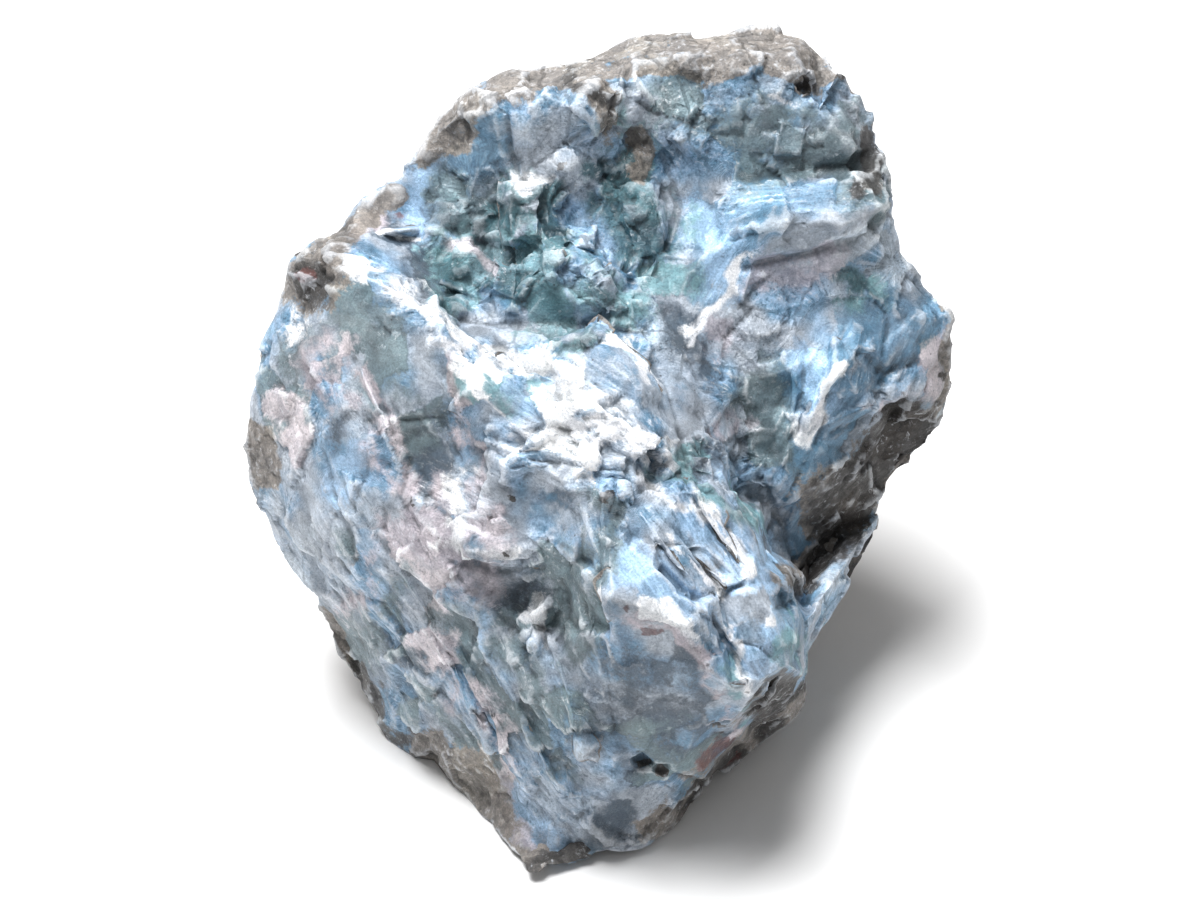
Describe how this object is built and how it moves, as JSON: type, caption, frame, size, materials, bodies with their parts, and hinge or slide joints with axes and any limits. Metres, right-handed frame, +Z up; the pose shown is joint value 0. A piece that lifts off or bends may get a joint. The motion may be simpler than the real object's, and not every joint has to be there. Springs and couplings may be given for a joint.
{
  "type": "rough larimar stone",
  "caption": "Piece of rough larimar, broken on every side, with blocky green crystals, radiating blue fibres and a brown rind. It stands on a small flat spot.",
  "frame": {"origin": "middle of the small flat spot that the stone rests on", "axes": "+Z up; -Y towards the broken face with the nose, which is the side the picture shows; +X to that viewer's right"},
  "size_m": [0.0728, 0.0674, 0.063],
  "materials": {
    "larimar": "broken, dull to silky pale blue stone with white, sea green and grey patches and a brown rind"
  },
  "bodies": {
    "root": {"larimar_stone": "larimar"}
  },
  "joints": []
}
